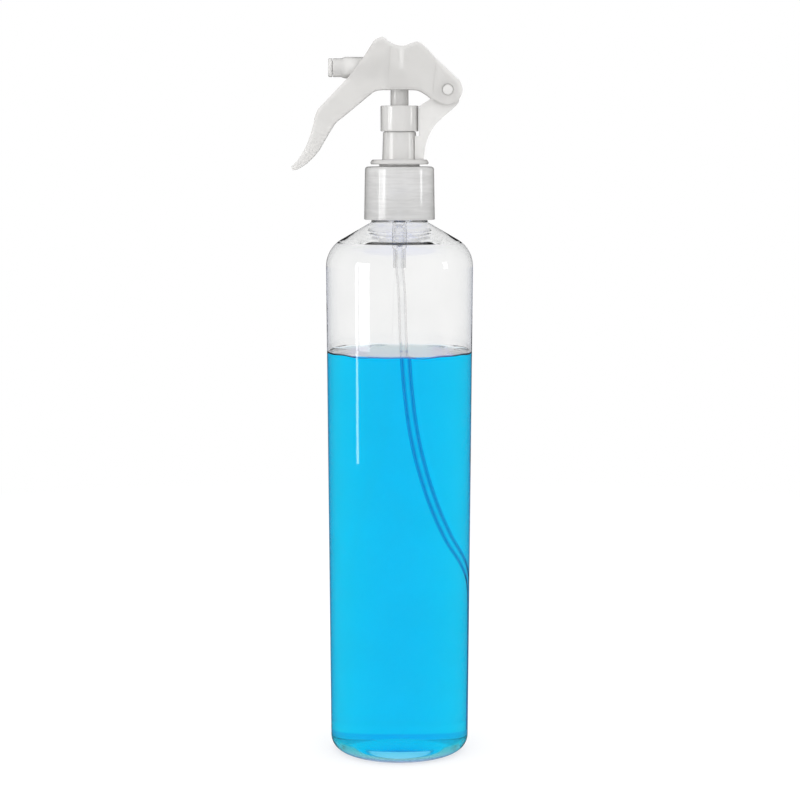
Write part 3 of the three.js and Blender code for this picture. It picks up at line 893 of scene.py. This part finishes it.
# ------------------------------------------------------------------ trigger lever
EYE_R = 5.8


def lever_skin():
    """The outside of the skin: up the front from the finger tip, over the top, round the rear."""
    finger = [
        (-42.7, 236.4), (-39.7, 239.7), (-36.4, 245.4), (-34.2, 252), (-33.2, 256.4),
        (-32.2, 258.8),
    ]
    top = [
        (-13.7, 279.8), (-11.5, 283.3), (-9.6, 285.9), (-6.6, 286.95), (-4.6, 285.6), (-1.6, 284),
        (1.9, 283.7), (5, 284.8), (7.4, 285.1), (9.8, 283.5), (14.3, 278.8),
    ]
    rear = arc(PIVOT_X, PIVOT_Z, EYE_R, 49, -12, 12)
    return [*spline(finger, 5), (-19, 272.6), *spline(top, 5), *rear]


def lever_underside():
    """The rest of the outline: round the pivot, along the underside and down to the finger tip."""
    return [
        *arc(PIVOT_X, PIVOT_Z, EYE_R, -20, -120, 16),
        *spline([(12.6, 263.1), (9.9, 265.1), (7.1, 266.5), (3.5, 266.7)], 5),
        *spline([(-6.4, 266.7), (-9.1, 266.4), (-10.9, 265.5)], 5),
        *spline([
            (-22.6, 255.9), (-25.6, 253.4), (-29.4, 247.3), (-32.6, 242.1), (-36.7, 237.9),
            (-40.4, 235.5), (-42.1, 235.1),
        ], 5),
    ]


def moved(points, distance):
    """An open line of points moved to the right of its direction."""
    out = []
    for i, p in enumerate(points):
        before = Vector(points[max(i - 1, 0)])
        after = Vector(points[min(i + 1, len(points) - 1)])
        along = (after - before).normalized()
        out.append((p[0] + along.y * distance, p[1] - along.x * distance))
    return out


def lever():
    """A skin with two side walls, open below, with raised pads on its sides, the rib that presses
    the button, fins that guide the button, a slot for the nozzle tube and the pivot's holes."""
    half, inner, skin_thickness = 7, 5.7, 1.4
    skin = lever_skin()
    body = plate("squeeze_lever", [*skin, *lever_underside()], half)
    open_below = [(25.5, 264), (26, 248), (-20, 225)]
    hollow = plate("hollow", [*moved(skin, skin_thickness), *open_below], inner)
    raised = [
        (-4.5, 267.4), (-3.5, 283.3),
        *spline([(-1.4, 283), (1.9, 282.8), (5.2, 283.8), (7.2, 284.1), (9.2, 282.8)], 4),
        (14.1, 277.8), (12.9, 264.4), (10.3, 266), (7.2, 267.4),
    ]
    pad_half, pad_y = 0.375, 6.875
    pads = [plate(f"pad_{side}", raised, pad_half, side * pad_y) for side in (-1, 1)]
    press = box("press", (0, 1.6), (-6, 6), (275.4, 283))
    press_tip = pin("press_tip", 0.8, 275.4, 0.8, 6)
    fins = []
    gap, fin_half = 4.7, 0.5
    for x in (-5, 4.9):
        for side in (-1, 1):
            ys = sorted((side * gap, side * 6.1))
            fins.append(box(f"fin_{x}_{side}", (x - fin_half, x + fin_half), ys, (267.8, 281.8)))
    slot = box("slot", (-25, -9), (-gap, gap), (270.5, 284.2))
    holes = pin("holes", PIVOT_X, PIVOT_Z, 2.3, 8)
    join(cut(body, hollow), *pads, press, press_tip, *fins)
    return round_edges(cut(body, slot, holes), 0.35)


place(lever(), "trigger_lever", MILKY)


# ------------------------------------------------------------------ studio
# The tent's brightness: as seen, through the object, in its outer gloss and in its inner gloss.
WHITE_SEEN = 1.0
WHITE_THROUGH = 1.02
DARK_REFLECTED = 0.06
PALE_INSIDE = 0.45
FLOOR_ALBEDO = 0.36


def choose(nodes, links, which, chosen, otherwise):
    """A number that is chosen where which is 1, and otherwise where it is 0."""
    mix = nodes.new("ShaderNodeMix")
    links.new(which, mix.inputs["Factor"])
    feed(links, chosen, mix.inputs["B"])
    feed(links, otherwise, mix.inputs["A"])
    return mix.outputs["Result"]


def once_inside(nodes, links, path):
    """1 for light that has passed through a surface on its way, and 0 otherwise."""
    passed = nodes.new("ShaderNodeMath")
    passed.operation = "GREATER_THAN"
    passed.inputs[1].default_value = 0.5
    links.new(path.outputs["Transmission Depth"], passed.inputs[0])
    return passed.outputs["Value"]


def tent(nodes, links, path, scattered):
    """The brightness of the tent: white behind and through the object, scattered as soft light
    on it, and dark in its outer reflections, so that only the softboxes shine there."""
    inside = once_inside(nodes, links, path)
    reflected = choose(nodes, links, inside, PALE_INSIDE, DARK_REFLECTED)
    level = choose(nodes, links, path.outputs["Is Glossy Ray"], reflected, scattered)
    level = choose(nodes, links, path.outputs["Is Transmission Ray"], WHITE_THROUGH, level)
    return choose(nodes, links, path.outputs["Is Camera Ray"], WHITE_SEEN, level)


def studio_world():
    """A white tent all round, a little brighter from above and from the right."""
    brighter_towards, dimmest, brightest = (0.42, -0.25, 0.87), 0.86, 1.25
    world = bpy.data.worlds.new("studio")
    bpy.context.scene.world = world
    world.use_nodes = True
    world.cycles.sampling_method = "NONE"
    nodes, links = world.node_tree.nodes, world.node_tree.links
    where = nodes.new("ShaderNodeTexCoord")
    side = nodes.new("ShaderNodeVectorMath")
    side.operation = "DOT_PRODUCT"
    side.inputs[1].default_value = brighter_towards
    links.new(where.outputs["Generated"], side.inputs[0])
    fall = nodes.new("ShaderNodeMapRange")
    fall.inputs["From Min"].default_value = -1
    fall.inputs["To Min"].default_value = dimmest
    fall.inputs["To Max"].default_value = brightest
    links.new(side.outputs["Value"], fall.inputs["Value"])
    level = tent(nodes, links, nodes.new("ShaderNodeLightPath"), fall.outputs["Result"])
    links.new(level, nodes["Background"].inputs["Strength"])
    nodes["Background"].inputs["Color"].default_value = (1, 1, 1, 1)


def floor():
    """A pale floor that runs out into the white of the tent. Its own glow makes up for the light
    it takes away, so that it looks white where nothing shades it."""
    fade_from, fade_to, glow_on_object, far_glow = 0.2, 0.7, 0.5, 0.6
    made, nodes, links, shader = material("floor")
    shader.inputs["Roughness"].default_value = 0.7
    shader.inputs["Specular IOR Level"].default_value = 0
    mottle = noise(nodes, links, 6, 2)
    low, high = (FLOOR_ALBEDO * 0.98,) * 3, (FLOOR_ALBEDO,) * 3
    links.new(tint(nodes, links, mottle, low, high), shader.inputs["Base Color"])
    shader.inputs["Emission Color"].default_value = (1, 1, 1, 1)
    path = nodes.new("ShaderNodeLightPath")
    own_glow = 1 - FLOOR_ALBEDO * 0.93
    glow = choose(nodes, links, path.outputs["Is Diffuse Ray"], glow_on_object, own_glow)
    links.new(glow, shader.inputs["Emission Strength"])
    where = nodes.new("ShaderNodeTexCoord")
    reach = nodes.new("ShaderNodeVectorMath")
    reach.operation = "LENGTH"
    links.new(where.outputs["Object"], reach.inputs[0])
    fade = nodes.new("ShaderNodeMapRange")
    fade.inputs["From Min"].default_value = fade_from
    fade.inputs["From Max"].default_value = fade_to
    links.new(reach.outputs["Value"], fade.inputs["Value"])
    gone = nodes.new("ShaderNodeMath")
    gone.operation = "MAXIMUM"
    links.new(fade.outputs["Result"], gone.inputs[0])
    links.new(path.outputs["Is Glossy Ray"], gone.inputs[1])
    white = nodes.new("ShaderNodeEmission")
    links.new(tent(nodes, links, path, far_glow), white.inputs["Strength"])
    mix = nodes.new("ShaderNodeMixShader")
    links.new(gone.outputs["Value"], mix.inputs["Fac"])
    links.new(shader.outputs["BSDF"], mix.inputs[1])
    links.new(white.outputs["Emission"], mix.inputs[2])
    links.new(mix.outputs["Shader"], nodes["Material Output"].inputs["Surface"])
    bpy.ops.mesh.primitive_plane_add(size=2, location=(AXIS.x, 0, 0))
    plane = bpy.context.object
    plane.name = "floor"
    plane.data.materials.append(made)


def softbox(name, azimuth, low, high, distance, width, radiance, shines=True):
    """An upright rectangular light at that bearing, from height low to high; bearing 0 is behind
    the camera. Its radiance is in units of the tent's white. One that doesn't shine lights the
    object without being seen in its gloss."""
    data = bpy.data.lights.new(name, "AREA")
    data.shape = "RECTANGLE"
    data.size = width
    data.size_y = high - low
    data.energy = radiance * math.pi * data.size * data.size_y
    data.use_nodes = True
    nodes, links = data.node_tree.nodes, data.node_tree.links
    inside = once_inside(nodes, links, nodes.new("ShaderNodeLightPath"))
    links.new(choose(nodes, links, inside, 0.0, 1.0), nodes["Emission"].inputs["Strength"])
    light = bpy.data.objects.new(name, data)
    a = math.radians(azimuth)
    bearing = Vector((math.sin(a), -math.cos(a), 0))
    light.location = AXIS + bearing * distance + Vector((0, 0, (low + high) / 2))
    light.rotation_euler = (-bearing).to_track_quat("-Z", "Y").to_euler()
    light.visible_camera = False
    light.visible_glossy = shines
    bpy.context.scene.collection.objects.link(light)


def camera():
    """The photo's view: from in front, level with the head and looking down a little."""
    look_down = 6.83
    data = bpy.data.cameras.new("camera")
    data.sensor_width = 36
    data.lens = 95.8
    obj = bpy.data.objects.new("camera", data)
    obj.location = AXIS + Vector((0.0002, -0.850, 0.245))
    obj.rotation_euler = (math.radians(90 - look_down), 0, 0)
    bpy.context.scene.collection.objects.link(obj)
    bpy.context.scene.camera = obj


floor()
studio_world()
softbox("window_left", -56, 0.086, 0.5, 0.9, 0.30, 3)
softbox("strip_left", -69, 0.028, 0.4, 0.6, 0.047, 5)
softbox("strip_right", 76, 0.19, 0.5, 0.9, 0.12, 4.5)
softbox("sliver_left", -52, 0.19, 0.5, 0.9, 0.035, 8)
softbox("fill", 30, 0.1, 0.8, 1.0, 0.8, 0.6, shines=False)
camera()
bpy.context.scene.view_settings.view_transform = "Standard"
CYCLES = bpy.context.scene.cycles
CYCLES.use_denoising = True
CYCLES.transmission_bounces = 24
CYCLES.glossy_bounces = 24
CYCLES.max_bounces = 32
CYCLES.sample_clamp_indirect = 1.2
